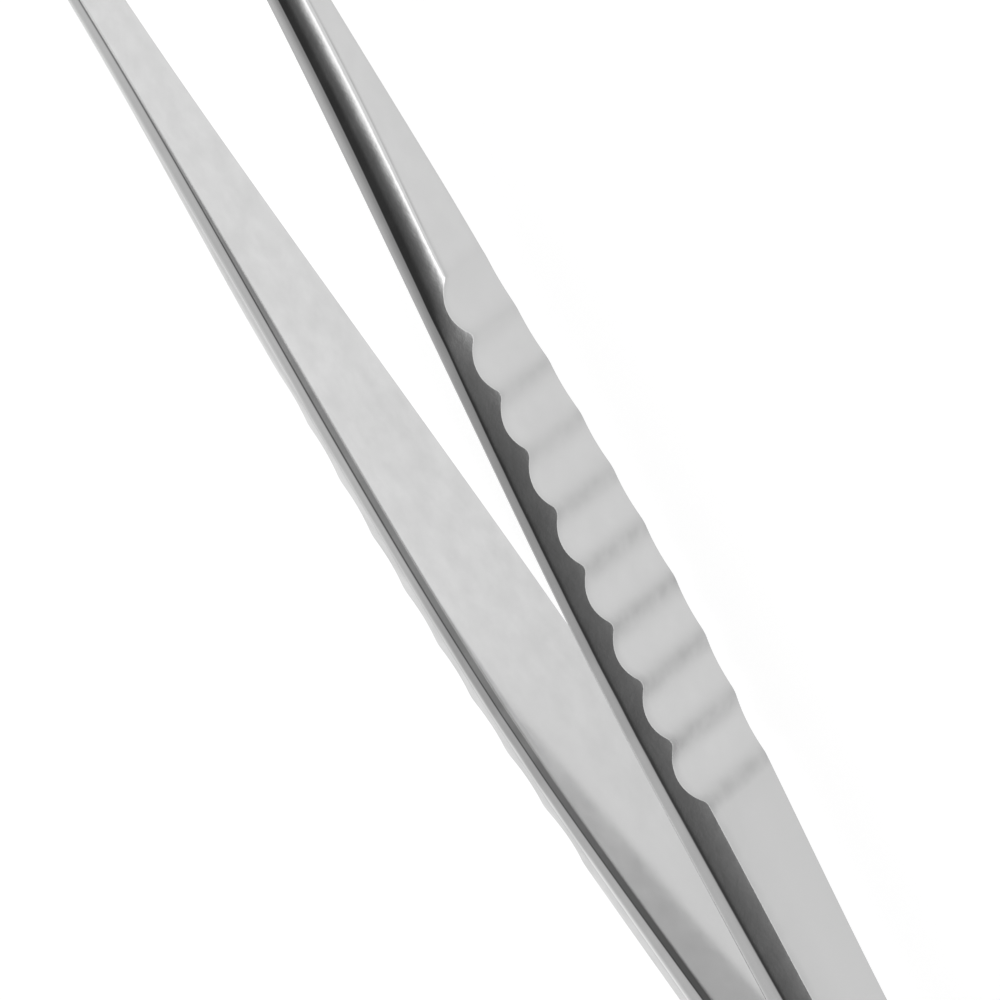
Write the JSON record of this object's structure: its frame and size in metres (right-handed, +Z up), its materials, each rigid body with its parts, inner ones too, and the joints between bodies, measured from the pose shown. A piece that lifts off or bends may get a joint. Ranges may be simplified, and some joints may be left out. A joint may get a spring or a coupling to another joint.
{
  "type": "thumb forceps",
  "caption": "Surgical thumb forceps: fluted spring arms welded at the heel, tapering to slim blunt jaws.",
  "frame": {"origin": "on the plane the forceps lies on, under the middle of its length, midway between the arms", "axes": "+X from the heel to the tips, +Y across the opening towards the finger arm, +Z up out of the arms' side edges"},
  "size_m": [0.14, 0.015, 0.0091],
  "materials": {
    "satin_steel": "fine satin-polished stainless steel"
  },
  "bodies": {
    "root": {"thumb_arm": "satin_steel", "finger_arm": "satin_steel"}
  },
  "joints": []
}
